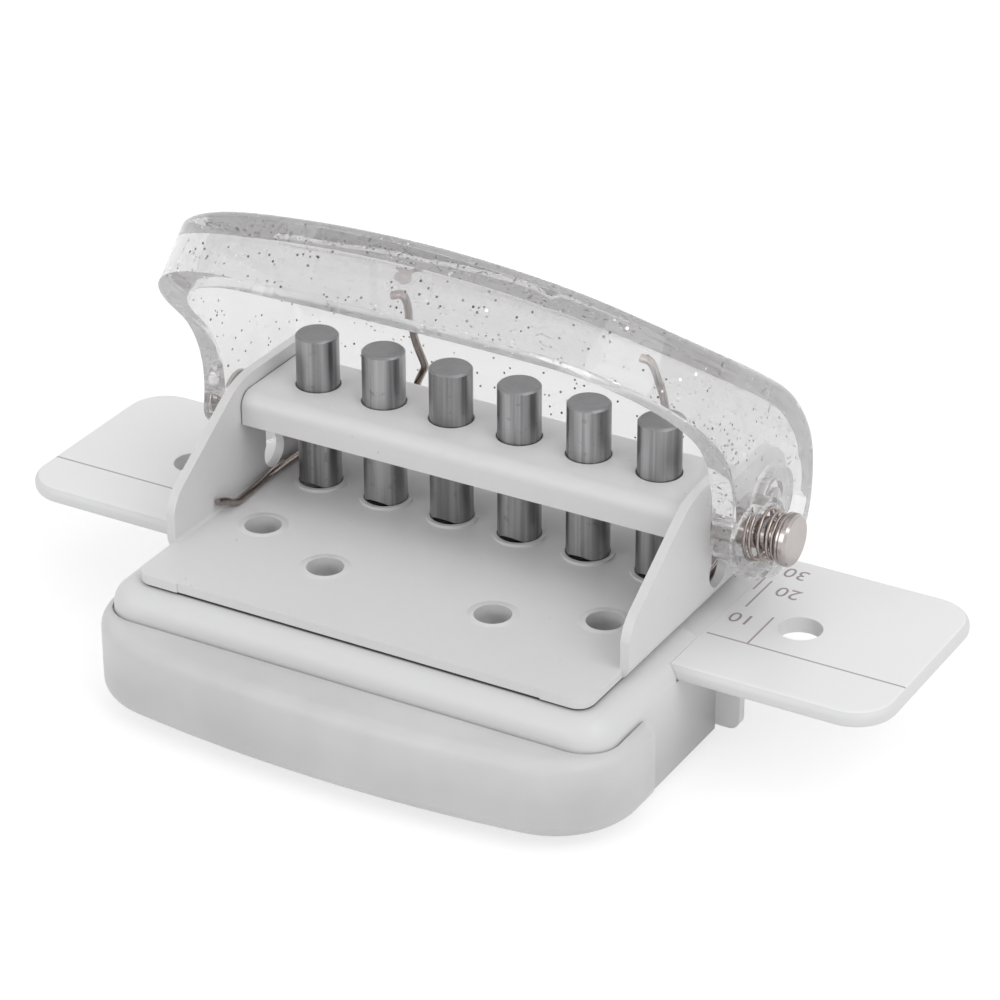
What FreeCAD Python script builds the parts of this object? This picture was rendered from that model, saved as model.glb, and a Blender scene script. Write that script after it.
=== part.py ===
import FreeCAD, Part
import math
import os

# Six-hole punch for loose-leaf paper, raised ready to punch.
# Millimetres. +Z up, +X along the row of pins. The paper goes in from +Y and
# the free end of the handle swings down towards -Y, over the base.
# The origin is on the desk, straight under the middle of the row of pins.

V = FreeCAD.Vector
X_AXIS = V(1, 0, 0)
Y_AXIS = V(0, 1, 0)
Z_AXIS = V(0, 0, 1)

# Paper standard: hole pitch, hole count, and hole centres from the paper's edge
PITCH = 9.5
PIN_COUNT = 6
EDGE_MARGIN = 6.5

# Heights above the desk
BASE_BOTTOM = 0.9
TABLE_TOP = 14.8
PAPER_GAP = 1.2
SHEET = 1.2
PLATE_BOTTOM = TABLE_TOP + PAPER_GAP
PLATE_TOP = PLATE_BOTTOM + SHEET
COLLAR_TOP = PLATE_TOP + 0.35
BASE_TOP = PLATE_BOTTOM - 0.35
BRIDGE_TOP = 30.8
PIN_TOP = 37.7
EAR_TOP = 32.6
SHAFT_Z = 26.3
HINGE_Y = 7.5
HINGE_Z = 26.5

# Metal frame
EAR_OUT = 31.8
EAR_IN = EAR_OUT - SHEET
BEND_RADIUS = 1.6
PLATE_HALF = 30.9
PLATE_FRONT = -30.8
PLATE_STEP = 0.2
PLATE_STEP_HALF = 24.8
FRAME_REAR = 13.5
EAR_FRONT = -22.3
EAR_FRONT_Z = 23.0
FRONT_HOLES = ((23.8, -13.3), (11.6, -18.45))
FRONT_HOLE_R = 2.3
RIVET_R = 2.95

# Pins and the shaft that drives them
PIN_R = 2.7
PIN_BOTTOM = PLATE_BOTTOM + 0.4
GUIDE_R = 2.8
DIE_R = 2.76
COLLAR_R = 3.3
MOUTH_R = 3.0
STROKE = 6.5
SHAFT_R = 1.6
LOCK_R = 2.05
LOCK_TRAVEL = 1.5
SLOT_HALF = 1.8
KEY_R = 2.25
HEAD_R = 3.25
HEAD_BACK = 40.2
HEAD_FACE = 41.8

# Handle, drawn closed about its hinge, then raised
RAISED_DEG = 46.0
PRESS_DEG = 42.0
HOOD_HALF = 36.8
HOOD_WALL = 3.1
HOOD_LIP_WALL = 4.4
HOOD_FRONT = 44.1
HOOD_CORNER = 18.3
HOOD_BOW = 2.7
CROWN = 3.3
LIP_W = -2.4
STUB_R = 2.5
EAR_CLEAR_R = 6.4
BOSS_R = 5.0
BOSS_FACE = 38.3

# Springs
TORSION_WIRE = 1.2
TORSION_MEAN_R = 2.25
ROD_R = 1.5
COIL_WIRE = 0.5
COIL_R = 3.25
COIL_END_R = 2.8
COIL_TURNS = 3.0

# Base, tray and rulers
BASE_HALF = 34.2
BASE_FRONT = -33.6
BASE_CORNER = 4.4
SHOULDER_R = 2.9
BASE_STEP_Y = -4.6
STEP_Y = -8.0
REAR_HALF = 30.0
BASE_REAR = 14.0
SKIRT_Z = 11.9
DIE_THICK = 1.5
DECK_THICK = 2.2
DECK_LOW = TABLE_TOP - DIE_THICK - DECK_THICK
DIE_HALF = 29.5
DIE_FRONT = -22.0
TRAY_HALF = 36.0
TRAY_FRONT = -40.2
TRAY_BOW = 3.4
TRAY_END = -23.6
TRAY_CORNER = 11.0
TRAY_BOTTOM = 2.0
TRAY_TOP = 12.2
TRAY_WALL = 1.7
TRAY_FLOOR = 1.3
TRAY_EDGE_R = 1.7
TRAY_LEDGE_R = 1.9
BOWL_DOOR = 27.2
BIN_HALF = 27.5
BIN_REAR = 10.5
BIN_BOTTOM = 2.1
BIN_WALL = 1.3
BIN_TOP = 9.6
RULER_END = 59.75
RULER_IN = 33.2
RULER_FRONT = -15.0
RULER_REAR = 15.3
RULER_THICK = 2.1
RULER_HOLE_R = 2.75
RULER_EDGE_R = 0.9


def pin_places():
    first = -0.5 * PITCH * (PIN_COUNT - 1)
    return [first + PITCH * i for i in range(PIN_COUNT)]


def box(x0, x1, y0, y1, z0, z1):
    return Part.makeBox(x1 - x0, y1 - y0, z1 - z0, V(x0, y0, z0))


def cylinder(radius, x, y, z, length, axis=Z_AXIS):
    return Part.makeCylinder(radius, length, V(x, y, z), axis)


def x_rod(radius, x0, x1, y, z):
    return cylinder(radius, x0, y, z, x1 - x0, X_AXIS)


def mirror_x(shape):
    return shape.mirror(V(0, 0, 0), X_AXIS)


def arc(a, b, c):
    return Part.Arc(a, b, c).toShape()


def line(a, b):
    return Part.makeLine(a, b)


def rounded_plan(half, front, rear, front_r, rear_r, z0, z1):
    """Upright prism on a rectangle symmetric in X with rounded corners."""
    body = box(-half, half, front, rear, z0, z1)
    for radius, y in ((front_r, front), (rear_r, rear)):
        if radius > 0:
            edges = [e for e in body.Edges
                     if abs(e.Vertexes[0].Point.z - e.Vertexes[1].Point.z) > 0.5 * (z1 - z0)
                     and abs(e.Vertexes[0].Point.y - y) < 0.01]
            body = body.makeFillet(radius, edges)
    return body


def side_plate(wire_edges, x0, x1):
    """Extrude a closed outline drawn in the YZ plane from x0 to x1."""
    face = Part.Face(Part.Wire(wire_edges))
    face.translate(V(x0, 0, 0))
    return face.extrude(V(x1 - x0, 0, 0))


# Metal frame

def ear_outline():
    """Cheek of the frame: upright front, long slope, and a round end about the hinge."""
    end_r = FRAME_REAR - HINGE_Y
    foot = PLATE_BOTTOM
    p = [V(0, EAR_FRONT, foot), V(0, EAR_FRONT, EAR_FRONT_Z - 2.2),
         V(0, EAR_FRONT + 0.75, EAR_FRONT_Z - 0.3), V(0, EAR_FRONT + 2.0, EAR_FRONT_Z + 0.9),
         V(0, -9.9, EAR_TOP - 1.9), V(0, -6.6, EAR_TOP - 0.4), V(0, -3.0, EAR_TOP),
         V(0, HINGE_Y, HINGE_Z + end_r), V(0, FRAME_REAR, HINGE_Z), V(0, FRAME_REAR, foot)]
    diagonal = end_r * math.sqrt(0.5)
    return [line(p[0], p[1]), arc(p[1], p[2], p[3]), line(p[3], p[4]), arc(p[4], p[5], p[6]),
            line(p[6], p[7]), arc(p[7], V(0, HINGE_Y + diagonal, HINGE_Z + diagonal), p[8]),
            line(p[8], p[9]), line(p[9], p[0])]


def key_slot(side, x0, x1):
    """Upright slot for the press shaft. Round seats let the shaft's thick end in."""
    low = SHAFT_Z - STROKE
    top_r = KEY_R if side > 0 else SLOT_HALF
    slot = box(x0, x1, -SLOT_HALF, SLOT_HALF, low, SHAFT_Z)
    return slot.fuse([x_rod(KEY_R, x0, x1, 0, low), x_rod(top_r, x0, x1, 0, SHAFT_Z)])


def bridge_tab(x0, x1, grow=0.0):
    tab = box(x0, x1, -3.3 - grow, 3.3 + grow, BRIDGE_TOP - SHEET - grow, BRIDGE_TOP + grow)
    ends = [e for e in tab.Edges if abs(e.Vertexes[0].Point.x - e.Vertexes[1].Point.x) > 0.5 * (x1 - x0)]
    return tab.makeFillet(0.55, ends)


def ear(side):
    cheek = side_plate(ear_outline(), EAR_IN, EAR_OUT)
    cheek = cheek.cut(key_slot(side, EAR_IN - 1, EAR_OUT + 1))
    cheek = cheek.cut(x_rod(STUB_R + 0.06, EAR_IN - 1, EAR_OUT + 1, HINGE_Y, HINGE_Z))
    cheek = cheek.cut(bridge_tab(EAR_IN - 1, EAR_OUT + 1, 0.03))
    return cheek if side > 0 else mirror_x(cheek)


def frame_blank():
    """Folded sheet: plate with its two cheeks, bent with a real inside and outside radius."""
    plate = rounded_plan(PLATE_HALF, PLATE_FRONT, FRAME_REAR, 2.2, 0, PLATE_BOTTOM, PLATE_TOP)
    plate = plate.cut(box(-PLATE_STEP_HALF, PLATE_STEP_HALF, PLATE_FRONT - 1, PLATE_FRONT + PLATE_STEP,
                          PLATE_BOTTOM, PLATE_TOP))
    wings = box(-EAR_OUT, EAR_OUT, EAR_FRONT, FRAME_REAR, PLATE_BOTTOM, PLATE_TOP)
    blank = plate.fuse([wings, ear(1), ear(-1)]).removeSplitter()
    outer = [e for e in blank.Edges if is_long_edge(e, EAR_OUT, PLATE_BOTTOM)]
    blank = blank.makeFillet(BEND_RADIUS, outer)
    inner = [e for e in blank.Edges if is_long_edge(e, EAR_IN, PLATE_TOP)]
    return blank.makeFillet(BEND_RADIUS - SHEET + 0.1, inner)


def is_long_edge(edge, x, z):
    ends = [v.Point for v in edge.Vertexes]
    if len(ends) < 2 or abs(ends[0].y - ends[1].y) < 20:
        return False
    return all(abs(abs(p.x) - x) < 0.01 and abs(p.z - z) < 0.01 for p in ends)


def metal_frame():
    frame = frame_blank()
    for x in pin_places():
        frame = frame.fuse(cylinder(COLLAR_R, x, 0, PLATE_TOP - 0.1, COLLAR_TOP - PLATE_TOP + 0.1))
    for x in pin_places():
        frame = frame.cut(cylinder(GUIDE_R, x, 0, PLATE_BOTTOM - 1, 4))
    for side in (-1, 1):
        for x, y in FRONT_HOLES:
            frame = frame.cut(cylinder(RIVET_R, side * x, y, PLATE_BOTTOM - 1, 4))
    return frame.removeSplitter()


def bridge_guide():
    """Inverted channel between the cheeks that guides the tops of the pins."""
    half = EAR_IN - 0.05
    front = -7.2
    rear = 5.7
    low = 26.6
    channel = box(-half, half, front, rear, low, BRIDGE_TOP)
    edge = [e for e in channel.Edges
            if all(abs(v.Point.y - front) < 0.01 and abs(v.Point.z - BRIDGE_TOP) < 0.01 for v in e.Vertexes)]
    channel = channel.makeFillet(1.9, edge)
    hollow = box(-half - 1, half + 1, front + SHEET, rear + 1, low - 1, BRIDGE_TOP - SHEET)
    edge = [e for e in hollow.Edges
            if all(abs(v.Point.y - front - SHEET) < 0.01 and abs(v.Point.z - BRIDGE_TOP + SHEET) < 0.01
                   for v in e.Vertexes)]
    channel = channel.cut(hollow.makeFillet(0.7, edge))
    for side in (-1, 1):
        tab = bridge_tab(half - 0.5, EAR_OUT)
        channel = channel.fuse(tab if side > 0 else mirror_x(tab))
    for x in pin_places():
        channel = channel.cut(cylinder(GUIDE_R + 0.05, x, 0, BRIDGE_TOP - 3, 5))
    return channel.removeSplitter()


def die_plate():
    top = TABLE_TOP
    plate = rounded_plan(DIE_HALF, DIE_FRONT, FRAME_REAR - 0.3, 1.0, 1.0, top - DIE_THICK, top)
    for x in pin_places():
        plate = plate.cut(cylinder(DIE_R, x, 0, top - 3, 5))
        relief = Part.makeCone(DIE_R + 0.45, DIE_R, 0.8, V(x, 0, top - DIE_THICK), Z_AXIS)
        plate = plate.cut(relief)
    for side in (-1, 1):
        for x, y in FRONT_HOLES:
            plate = plate.cut(cylinder(RIVET_R, side * x, y, top - 3, 5))
        for x, y in screw_places():
            plate = plate.cut(cylinder(1.0, side * x, y, top - 3, 5))
    return plate


def throat_spacer():
    """Strip between the die plate and the frame. Its rear edge stops the paper."""
    strip = rounded_plan(DIE_HALF, DIE_FRONT, -EDGE_MARGIN, 1.0, 0, TABLE_TOP, PLATE_BOTTOM)
    for side in (-1, 1):
        for x, y in FRONT_HOLES:
            strip = strip.cut(cylinder(RIVET_R, side * x, y, TABLE_TOP - 1, 4))
    return strip


def frame_rivets():
    """Four hollow rivets, flush on top and flared below, that clamp plate, spacer and die."""
    low = TABLE_TOP - DIE_THICK
    rivets = []
    for side in (-1, 1):
        for x, y in FRONT_HOLES:
            tube = cylinder(RIVET_R, side * x, y, low - 0.6, PLATE_TOP - low + 0.6)
            flare = cylinder(RIVET_R + 0.8, side * x, y, low - 0.6, 0.6)
            bore = cylinder(FRONT_HOLE_R, side * x, y, low - 2, 8)
            rivets.append(tube.fuse(flare).cut(bore).removeSplitter())
    return Part.makeCompound(rivets)


# Pins, shaft and springs

def punch_pin(x):
    """Round pin with a hollow-ground end, so that it shears from two points inwards."""
    pin = cylinder(PIN_R, x, 0, PIN_BOTTOM, PIN_TOP - PIN_BOTTOM)
    rim = [e for e in pin.Edges if abs(e.BoundBox.ZMin - PIN_TOP) < 0.01 and abs(e.BoundBox.ZMax - PIN_TOP) < 0.01]
    pin = pin.makeChamfer(0.25, rim)
    drop = math.sqrt(MOUTH_R ** 2 - PIN_R ** 2)
    pin = pin.cut(cylinder(MOUTH_R, x, -5, PIN_BOTTOM - drop, 10, Y_AXIS))
    return pin.cut(x_rod(SHAFT_R + 0.05, x - 5, x + 5, 0, SHAFT_Z))


def press_shaft():
    """Cross shaft turned in steps: grooved end, thin middle, thick lock end, neck and head."""
    x0 = -38.8
    steps = ((x0, 1.3), (x0 + 0.3, SHAFT_R), (-37.7, SHAFT_R), (-37.7, 1.2), (-37.1, 1.2),
             (-37.1, SHAFT_R), (32.1, SHAFT_R), (32.1, LOCK_R), (38.6, LOCK_R), (38.9, 1.7),
             (HEAD_BACK, 1.7), (HEAD_BACK, HEAD_R - 0.35), (HEAD_BACK + 0.35, HEAD_R),
             (HEAD_BACK + 0.55, HEAD_R), (HEAD_BACK + 0.65, HEAD_R - 0.15),
             (HEAD_BACK + 0.75, HEAD_R), (HEAD_FACE - 0.3, HEAD_R), (HEAD_FACE, HEAD_R - 0.3))
    points = [V(x0, 0, 0)] + [V(x, r, 0) for x, r in steps] + [V(HEAD_FACE, 0, 0), V(x0, 0, 0)]
    profile = Part.Face(Part.makePolygon(points))
    shaft = profile.revolve(V(0, 0, 0), X_AXIS, 360)
    shaft.translate(V(0, 0, SHAFT_Z))
    return shaft


def shaft_clip():
    """Open ring that snaps into the groove outside the left arm."""
    ring = x_rod(3.3, -37.65, -37.15, 0, SHAFT_Z).cut(x_rod(1.25, -38, -37, 0, SHAFT_Z))
    mouth = box(-38, -37, -0.95, 0.95, SHAFT_Z - 4, SHAFT_Z)
    relief = x_rod(0.6, -38, -37, 2.0, SHAFT_Z + 1.2).fuse(x_rod(0.6, -38, -37, -2.0, SHAFT_Z + 1.2))
    return ring.cut(mouth).cut(relief)


def pipe(path, radius):
    """Round wire along a path wire."""
    start = path.Edges[0]
    tangent = start.tangentAt(start.FirstParameter)
    ring = Part.Wire(Part.makeCircle(radius, start.valueAt(start.FirstParameter), tangent))
    return path.makePipeShell([ring], True, True)


def coil(x0, x1, radius, turns, y, z, end_radius=None):
    """Helix about an X-parallel axis, starting behind the axis and rising first."""
    flare = 0.0
    if end_radius is not None:
        flare = math.degrees(math.atan((end_radius - radius) / (x1 - x0)))
    helix = Part.makeHelix((x1 - x0) / turns, x1 - x0, radius, flare)
    turn = FreeCAD.Matrix(0, 0, 1, x0, 1, 0, 0, y, 0, 1, 0, z, 0, 0, 0, 1)
    return Part.Wire(helix.transformGeometry(turn).Edges)


def shaft_spring():
    """Short tapered compression spring between the right arm's boss and the shaft's head."""
    wire_r = COIL_WIRE / 2
    start = HOOD_HALF - 0.6 + wire_r + 0.05
    end = HEAD_BACK - wire_r - 0.05
    return pipe(coil(start, end, COIL_R, COIL_TURNS, 0, SHAFT_Z, COIL_END_R), wire_r)


def round_path(points, radius):
    """Straight runs through the points with an arc of the given radius at each bend."""
    edges = []
    last = points[0]
    for a, b, c in zip(points[:-2], points[1:-1], points[2:]):
        u = (a - b).normalize()
        w = (c - b).normalize()
        half = 0.5 * u.getAngle(w)
        cut = min(radius / math.tan(half), 0.45 * (a - b).Length, 0.45 * (c - b).Length)
        middle = (u + w).normalize()
        bend = cut * math.tan(half)
        centre = b + middle * (bend / math.sin(half))
        p = b + u * cut
        q = b + w * cut
        edges.append(line(last, p))
        edges.append(arc(p, centre - middle * bend, q))
        last = q
    edges.append(line(last, points[-1]))
    return Part.Wire(edges)


def raised(x, u, w):
    """Point given in the closed handle, u forward and w up from the hinge, as raised."""
    a = math.radians(RAISED_DEG)
    return V(x, HINGE_Y - u * math.cos(a) + w * math.sin(a), HINGE_Z + u * math.sin(a) + w * math.cos(a))


def hood_ridge(inset):
    """Roof line in the closed pose: forward of the hinge, above it, and share of the crown."""
    rear = -9.3 + inset
    return [(rear, -1.0, 0.0), (rear + 1.0, 3.6, 0.3), (rear + 3.6, 8.2, 0.7),
            (-1.5 + 0.35 * inset, 12.2, 0.95), (3, 13.7, 1), (9, 14.0, 1), (15, 13.1, 1),
            (23, 11.4, 1), (35, 8.6, 1), (47, 6.5, 1)]


def roof_height(x, u):
    """Height of the hood's roof above the hinge, in the closed pose."""
    for (u0, w0, s0), (u1, w1, s1) in zip(hood_ridge(0)[:-1], hood_ridge(0)[1:]):
        if u0 <= u <= u1:
            t = (u - u0) / (u1 - u0)
            share = s0 + t * (s1 - s0)
            return w0 + t * (w1 - w0) - share * CROWN * (x / HOOD_HALF) ** 2
    return 0.0


def roof_under(x, u):
    """Height of the underside of the hood's roof above the hinge, in the closed pose."""
    return roof_height(x, u) - HOOD_WALL


def torsion_spring(coil_end, turns, leg_x, tip_x):
    """Left-hand spring: coil on the rod, one leg on the plate, one leg under the hood's roof."""
    wire_r = TORSION_WIRE / 2
    coil_start = -28.7
    foot_x = -29.0
    floor = PLATE_TOP + wire_r + 0.02
    rear = HINGE_Y + TORSION_MEAN_R
    pitch = (coil_end - coil_start) / turns
    slope = V(pitch / (2 * math.pi * TORSION_MEAN_R), 0, 1).normalize()
    first = V(coil_start, rear, HINGE_Z)
    last = V(coil_end, rear, HINGE_Z)
    lower = [V(foot_x - 0.75, -12.3, floor), V(foot_x, -10.4, floor), V(foot_x, rear, floor),
             first - slope * 3, first]
    bend = raised(leg_x, 12.0, roof_under(leg_x, 12.0) - wire_r - 0.25)
    tip = raised(tip_x, 14.5, roof_under(tip_x, 14.5) - wire_r - 0.1)
    upper = [last, last + slope * 4, bend, tip]
    turns_wire = coil(coil_start, coil_end, TORSION_MEAN_R, turns, HINGE_Y, HINGE_Z)
    edges = round_path(lower, 2.2).Edges + turns_wire.Edges + round_path(upper, 1.8).Edges
    return pipe(Part.Wire(edges), wire_r)


def hinge_rod():
    return x_rod(ROD_R, -32.3, 32.3, HINGE_Y, HINGE_Z)


# Handle

def hood_section(x, sink, inset):
    """Closed side section of the crowned hood at one x, about the hinge, in the closed pose."""
    drop = CROWN * (x / HOOD_HALF) ** 2 + sink
    points = [V(x, -u, w - drop * share) for u, w, share in hood_ridge(inset)]
    curve = Part.BSplineCurve()
    curve.interpolate(points)
    a = V(x, points[0].y, -15)
    b = V(x, -47, -15)
    return Part.Wire([curve.toShape(), line(points[-1], b), line(b, a), line(a, points[0])])


def hood_block(half, front, corner, sink, inset):
    """Crowned block: sections lofted across the width, cut to the rounded, bowed plan."""
    stations = [s * 40 for s in (-1.0, -0.5, 0.0, 0.5, 1.0)]
    block = Part.makeLoft([hood_section(x, sink, inset) for x in stations], True, False)
    bow = HOOD_BOW * (half / HOOD_HALF) ** 2
    return block.common(bowed_plan(half, -front, bow, corner, 14, -15, 16))


def hood_side_outline():
    """Side view of the hood: straight lip, hollow sweep and the round end of the arm."""
    p = [V(0, -60, LIP_W), V(0, -23, LIP_W), V(0, -15.6, -4.3), V(0, -10.4, -8.7),
         V(0, -9.0, -10.1), V(0, -6.8, -10.3), V(0, 0, -9.2), V(0, 6.5, -6.4), V(0, 9.4, -1.0),
         V(0, 9.4, 20), V(0, -60, 20)]
    return [line(p[0], p[1]), arc(p[1], p[2], p[3]), arc(p[3], p[4], p[5]), line(p[5], p[6]),
            arc(p[6], p[7], p[8]), line(p[8], p[9]), line(p[9], p[10]), line(p[10], p[0])]


def cam_point(press_deg):
    """Where the press shaft sits in the arm, about the hinge in the closed pose.

    The shaft goes straight down in step with the handle's angle, so its place in
    the turning arm is the straight stroke turned back by what is left to close.
    """
    y = -HINGE_Y
    z = SHAFT_Z - HINGE_Z - STROKE * press_deg / PRESS_DEG
    a = math.radians(RAISED_DEG - press_deg)
    return V(0, y * math.cos(a) - z * math.sin(a), y * math.sin(a) + z * math.cos(a))


def cam_slot(radius, x0, x1):
    """Curved slot that turns the handle's swing into the straight stroke of the pins.

    It is what a round of this radius sweeps along the arc of the shaft's places:
    a round at each end, and the wedge of the arc's own circle between them.
    """
    start = cam_point(0)
    end = cam_point(PRESS_DEG)
    middle = cam_point(0.5 * PRESS_DEG)
    centre = Part.Arc(start, middle, end).toShape().Curve.Center
    rim = [centre + (p - centre) * (1 + radius / (p - centre).Length) for p in (start, middle, end)]
    wedge = side_plate([line(centre, rim[0]), arc(*rim), line(rim[2], centre)], x0, x1)
    ends = [x_rod(radius, x0, x1, p.y, p.z) for p in (start, end)]
    return wedge.fuse(ends).removeSplitter()


def arm_fittings(hood, side):
    """Hinge stub with its shoulder, the shaft's slot, and on the right the spring's boss."""
    inner = HOOD_HALF - HOOD_WALL
    add = [x_rod(4.2, EAR_OUT + 0.3, inner + 0.5, 0, 0), x_rod(STUB_R, EAR_IN - 0.4, inner + 0.5, 0, 0)]
    cuts = [x_rod(ROD_R + 0.04, EAR_IN - 1, 32.7, 0, 0)]
    if side > 0:
        middle = cam_point(0.5 * PRESS_DEG)
        add.append(x_rod(BOSS_R, HOOD_HALF - 1, BOSS_FACE, middle.y, middle.z))
        cuts.append(cam_slot(LOCK_R + 0.15, inner - 2, BOSS_FACE + 1))
        cuts.append(cam_slot(COIL_R + 0.5, HOOD_HALF - 0.6, BOSS_FACE + 1))
    else:
        cuts.append(cam_slot(SHAFT_R + 0.15, inner - 2, BOSS_FACE + 1))
    for extra in add:
        hood = hood.fuse(extra if side > 0 else mirror_x(extra))
    for cut in cuts:
        hood = hood.cut(cut if side > 0 else mirror_x(cut))
    return hood


def handle():
    outer = hood_block(HOOD_HALF, HOOD_FRONT, HOOD_CORNER, 0.0, 0.0)
    inner = hood_block(HOOD_HALF - HOOD_WALL, HOOD_FRONT - HOOD_LIP_WALL, HOOD_CORNER - HOOD_WALL,
                       HOOD_WALL, HOOD_WALL)
    hood = outer.common(side_plate(hood_side_outline(), -45, 45))
    hood = hood.makeFillet(1.2, top_rim(hood))
    hood = hood.cut(inner)
    gap = HOOD_HALF - HOOD_WALL
    hood = hood.cut(box(-gap, gap, 0, 20, -16, 3.4))
    hood = hood.cut([x_rod(EAR_CLEAR_R, EAR_IN - 0.6, gap, 0, 0), x_rod(EAR_CLEAR_R, -gap, 0.6 - EAR_IN, 0, 0)])
    for side in (-1, 1):
        hood = arm_fittings(hood, side)
    hood.rotate(V(0, 0, 0), X_AXIS, -RAISED_DEG)
    hood.translate(V(0, HINGE_Y, HINGE_Z))
    return hood


def top_rim(hood):
    """Edges where the crowned roof meets the side walls and the front."""
    rim = []
    for e in hood.Edges:
        mid = e.valueAt(0.5 * (e.FirstParameter + e.LastParameter))
        upper = mid.z > 3.0 and abs(mid.z - roof_height(mid.x, -mid.y)) < 1.5
        wall = abs(mid.x) > HOOD_HALF - 0.05 or mid.y < -HOOD_FRONT + HOOD_CORNER * 0.55
        if upper and wall and e.Length > 5:
            rim.append(e)
    return rim


# Base, tray and rulers

def screw_places():
    return ((24.5, -18.2), (24.5, 9.0))


def base_top():
    """Moulded top with a soft shoulder, stepped down behind for the paper."""
    top = rounded_plan(BASE_HALF, BASE_FRONT, BASE_STEP_Y, BASE_CORNER, 0, SKIRT_Z, BASE_TOP)
    shoulder = []
    for e in top.Edges:
        b = e.BoundBox
        if b.ZMin > BASE_TOP - 0.1 and b.YMin < BASE_STEP_Y - 0.1:
            shoulder.append(e)
    top = top.makeFillet(SHOULDER_R, shoulder)
    deck = box(-RULER_IN, RULER_IN, -21, FRAME_REAR, DECK_LOW, TABLE_TOP)
    top = top.fuse(deck)
    return top.cut(box(-40, 40, STEP_Y, 20, TABLE_TOP, 20))


def base_walls():
    """Side walls that guide the tray, stepped in behind, with ledges under the tray."""
    wall = 2.1
    low = BASE_BOTTOM
    right = [box(BASE_HALF - wall, BASE_HALF, TRAY_END + 0.3, BASE_STEP_Y, low, SKIRT_Z + 1),
             box(REAR_HALF - 2, BASE_HALF, BASE_STEP_Y - 1.6, BASE_STEP_Y, low, SKIRT_Z + 0.5),
             box(REAR_HALF - 2, REAR_HALF, BASE_STEP_Y - 1.6, BASE_REAR, low, DECK_LOW + 1),
             box(25.2, BASE_HALF, TRAY_END + 0.3, BASE_STEP_Y, low, low + 0.9)]
    walls = right + [mirror_x(w) for w in right]
    walls.append(box(-REAR_HALF, REAR_HALF, BASE_REAR - 2, BASE_REAR, low, TABLE_TOP))
    walls.append(box(-REAR_HALF, REAR_HALF, BASE_REAR - 4, BASE_REAR, low, low + 0.9))
    return walls


def base_body():
    body = base_top().fuse(base_walls())
    cuts = [box(-BASE_HALF + 2, BASE_HALF - 2, BASE_FRONT + 2, DIE_FRONT - 0.4, 0, PLATE_BOTTOM - 2.2),
            box(-BASE_HALF + 2, BASE_HALF - 2, DIE_FRONT - 0.5, BASE_STEP_Y - 1.7, BASE_BOTTOM + 1, DECK_LOW),
            box(-BIN_HALF - 0.2, BIN_HALF + 0.2, BASE_STEP_Y - 2, BASE_REAR - 4, BASE_BOTTOM + 1, DECK_LOW),
            box(-27.4, 27.4, -4.2, 4.2, 0, 20),
            box(-DIE_HALF - 0.1, DIE_HALF + 0.1, DIE_FRONT - 0.1, 20, TABLE_TOP - DIE_THICK, 20)]
    for cut in cuts:
        body = body.cut(cut)
    for side in (-1, 1):
        for x, y in FRONT_HOLES:
            body = body.cut(cylinder(RIVET_R + 1.1, side * x, y, DECK_LOW - 1, 5))
        for x, y in screw_places():
            body = body.cut(cylinder(1.25, side * x, y, DECK_LOW - 1, 5))
            body = body.cut(cylinder(2.1, side * x, y, DECK_LOW - 1, 2.0))
        seat = ruler_seat()
        body = body.cut(seat if side > 0 else mirror_x(seat))
    return body.removeSplitter()


def ruler_seat():
    """Notch and socket in the side of the base that hold a ruler and its tongue."""
    notch = box(RULER_IN - 0.02, 40, RULER_FRONT - 0.05, 20, TABLE_TOP - RULER_THICK - 0.05, 20)
    socket = box(30.4, 40, -12.1, 11.1, TABLE_TOP - 1.75, TABLE_TOP - 0.65)
    return notch.fuse(socket)


def ruler(side):
    """Paper ruler: rounded blade, hole on the row of pins, tongue and support rib."""
    blade = box(RULER_IN, RULER_END, RULER_FRONT, RULER_REAR, TABLE_TOP - RULER_THICK, TABLE_TOP)
    corners = [e for e in blade.Edges
               if all(abs(v.Point.x - RULER_END) < 0.01 for v in e.Vertexes)
               and abs(e.Vertexes[0].Point.z - e.Vertexes[1].Point.z) > 1]
    blade = blade.makeFillet(5.5, corners)
    rim = [e for e in blade.Edges
           if abs(e.BoundBox.ZMax - e.BoundBox.ZMin) < 0.05 and e.BoundBox.XMax > RULER_IN + 0.5]
    blade = blade.makeFillet(RULER_EDGE_R, rim)
    tongue = box(30.6, RULER_IN + 1, -12, 11, TABLE_TOP - 1.7, TABLE_TOP - 0.7)
    rib = box(RULER_IN, 37.4, BASE_STEP_Y, -3.3, BASE_BOTTOM + 0.6, TABLE_TOP - RULER_THICK + 0.3)
    foot = [e for e in rib.Edges
            if all(abs(v.Point.x - 37.4) < 0.01 and abs(v.Point.z - BASE_BOTTOM - 0.6) < 0.01
                   for v in e.Vertexes)]
    rib = rib.makeFillet(1.4, foot)
    piece = blade.fuse([tongue, rib]).cut(cylinder(RULER_HOLE_R, 4.5 * PITCH, 0, TABLE_TOP - 5, 8))
    return piece.removeSplitter() if side > 0 else mirror_x(piece.removeSplitter())


def base_screws():
    """Four screws from below through the base's deck into the die plate."""
    screws = []
    for side in (-1, 1):
        for x, y in screw_places():
            head = cylinder(2.0, side * x, y, DECK_LOW, 0.95)
            stem = cylinder(0.97, side * x, y, DECK_LOW + 0.5, TABLE_TOP - DECK_LOW - 0.6)
            cross = box(side * x - 1.2, side * x + 1.2, y - 0.2, y + 0.2, DECK_LOW - 1, DECK_LOW + 0.5)
            bar = box(side * x - 0.2, side * x + 0.2, y - 1.2, y + 1.2, DECK_LOW - 1, DECK_LOW + 0.5)
            screws.append(head.fuse(stem).cut(cross.fuse(bar)))
    return Part.makeCompound(screws)


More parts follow.
